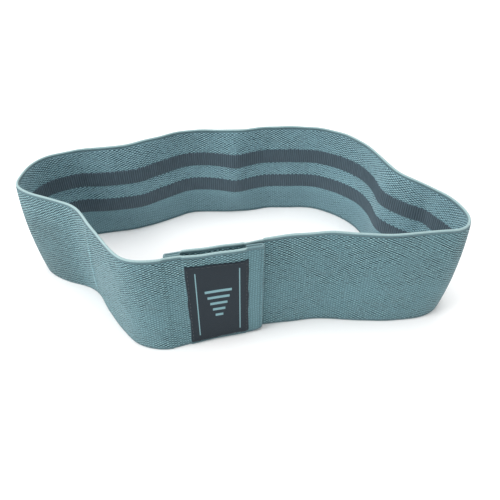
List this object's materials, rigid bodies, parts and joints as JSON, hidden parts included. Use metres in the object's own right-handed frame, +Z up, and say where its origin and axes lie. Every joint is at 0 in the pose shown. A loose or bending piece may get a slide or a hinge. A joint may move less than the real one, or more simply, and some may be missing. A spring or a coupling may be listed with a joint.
{
  "type": "resistance_band",
  "caption": "Wide woven elastic loop band for hip and leg exercises, standing on edge, with inner grip stripes, a sewn overlap and a woven label",
  "frame": {"origin": "middle of the loop's box at the level of its lower edge", "axes": "+X along the loop's long way, to the right seen from the label side; +Y from the label side to the back; +Z up across the webbing"},
  "size_m": [0.2956, 0.1537, 0.08],
  "materials": {
    "face_weave": "woven polyester and cotton cover yarn, grey teal",
    "inner_weave": "woven inner face, grey teal",
    "selvedge": "close woven edge",
    "core_rubber": "natural latex thread",
    "grip": "ribbed rubber yarn, matt",
    "label": "woven damask label, slate",
    "thread": "polyester sewing thread"
  },
  "bodies": {
    "join": {"join_inner_face": "inner_weave", "join_lower_grip": "grip", "join_outer_face": "face_weave", "join_rubber_core": "core_rubber", "join_selvedges": "selvedge", "join_upper_grip": "grip", "outer_hem": "face_weave", "label": "label", "label_stitching": "thread", "outer_hem_stitching": "thread"},
    "left_side": {"left_side_inner_face": "inner_weave", "left_side_lower_grip": "grip", "left_side_outer_face": "face_weave", "left_side_rubber_core": "core_rubber", "left_side_selvedges": "selvedge", "left_side_upper_grip": "grip"},
    "back_left": {"back_left_inner_face": "inner_weave", "back_left_lower_grip": "grip", "back_left_outer_face": "face_weave", "back_left_rubber_core": "core_rubber", "back_left_selvedges": "selvedge", "back_left_upper_grip": "grip"},
    "back_right": {"back_right_inner_face": "inner_weave", "back_right_lower_grip": "grip", "back_right_outer_face": "face_weave", "back_right_rubber_core": "core_rubber", "back_right_selvedges": "selvedge", "back_right_upper_grip": "grip"},
    "right_side": {"right_side_inner_face": "inner_weave", "right_side_lower_grip": "grip", "right_side_outer_face": "face_weave", "right_side_rubber_core": "core_rubber", "right_side_selvedges": "selvedge", "right_side_upper_grip": "grip"},
    "front_right": {"front_right_inner_face": "inner_weave", "front_right_lower_grip": "grip", "front_right_outer_face": "face_weave", "front_right_rubber_core": "core_rubber", "front_right_selvedges": "selvedge", "front_right_upper_grip": "grip"},
    "inner_end": {"inner_end_inner_face": "inner_weave", "inner_end_lower_grip": "grip", "inner_end_outer_face": "face_weave", "inner_end_rubber_core": "core_rubber", "inner_end_selvedges": "selvedge", "inner_end_upper_grip": "grip", "inner_hem": "face_weave", "inner_hem_stitching": "thread"}
  },
  "joints": [
    {"name": "front_left_fold", "type": "hinge", "parent": "join", "child": "left_side", "pos_m": [-0.0527, -0.07565, 0.04], "axis": [0, 0, 1], "range_deg": [-20, 52], "stiffness_Nm_per_rad": 0.02},
    {"name": "left_fold", "type": "hinge", "parent": "left_side", "child": "back_left", "pos_m": [-0.1369, 0.03415, 0.04], "axis": [0, 0, 1], "range_deg": [-52, 20], "stiffness_Nm_per_rad": 0.02},
    {"name": "back_stretch", "type": "slide", "parent": "back_left", "child": "back_right", "axis": [0.9903, 0.1392, 0], "range_m": [0, 0.1], "stiffness_N_per_m": 500},
    {"name": "back_right_fold", "type": "hinge", "parent": "back_right", "child": "right_side", "pos_m": [0.0623, 0.07435, 0.04], "axis": [0, 0, 1], "range_deg": [-20, 52], "stiffness_Nm_per_rad": 0.02},
    {"name": "right_fold", "type": "hinge", "parent": "right_side", "child": "front_right", "pos_m": [0.1465, -0.03545, 0.04], "axis": [0, 0, 1], "range_deg": [-52, 20], "stiffness_Nm_per_rad": 0.02},
    {"name": "front_stretch", "type": "slide", "parent": "front_right", "child": "inner_end", "axis": [0.9903, 0.1392, 0], "range_m": [-0.1, 0], "stiffness_N_per_m": 500}
  ],
  "couplings": [
    {"joint": "left_fold", "follows": "front_left_fold", "ratio": -1},
    {"joint": "back_right_fold", "follows": "front_left_fold", "ratio": 1},
    {"joint": "right_fold", "follows": "front_left_fold", "ratio": -1},
    {"joint": "front_stretch", "follows": "back_stretch", "ratio": -1}
  ]
}
